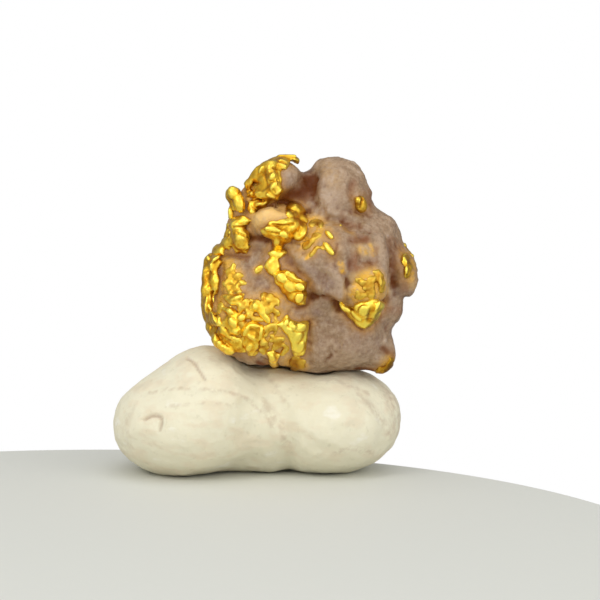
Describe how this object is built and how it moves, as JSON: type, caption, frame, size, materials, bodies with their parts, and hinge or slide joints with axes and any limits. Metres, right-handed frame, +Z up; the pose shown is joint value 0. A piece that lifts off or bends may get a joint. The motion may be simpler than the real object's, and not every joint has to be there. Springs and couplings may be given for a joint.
{
  "type": "gold in quartz specimen",
  "caption": "Thumbnail mineral specimen of milky quartz with masses of native gold, standing in a pinch of white mounting putty.",
  "frame": {"origin": "middle of the putty's flat underside, under the middle of the whole piece", "axes": "+Z up, front face of the specimen towards -Y, +X to the viewer's right"},
  "size_m": [0.0206, 0.0116, 0.0213],
  "materials": {
    "quartz": "rough milky quartz, iron stained",
    "gold": "natural bright native gold",
    "putty": "matt white mounting putty"
  },
  "bodies": {
    "root": {"quartz": "quartz", "gold_knob": "gold", "gold_crest": "gold", "gold_shoulder": "gold", "gold_rim": "gold", "gold_arch": "gold", "gold_vein": "gold", "gold_plate": "gold", "gold_curl": "gold", "gold_crust": "gold", "gold_patch": "gold", "gold_tooth": "gold", "gold_root": "gold", "gold_fleck_upper": "gold", "gold_fleck_lower": "gold", "gold_wedge": "gold", "gold_bead": "gold", "gold_strip": "gold", "gold_foot": "gold", "gold_back_vein": "gold", "gold_back_seam": "gold", "gold_back_nugget": "gold", "gold_back_crust": "gold", "gold_back_patch": "gold", "putty": "putty"}
  },
  "joints": []
}
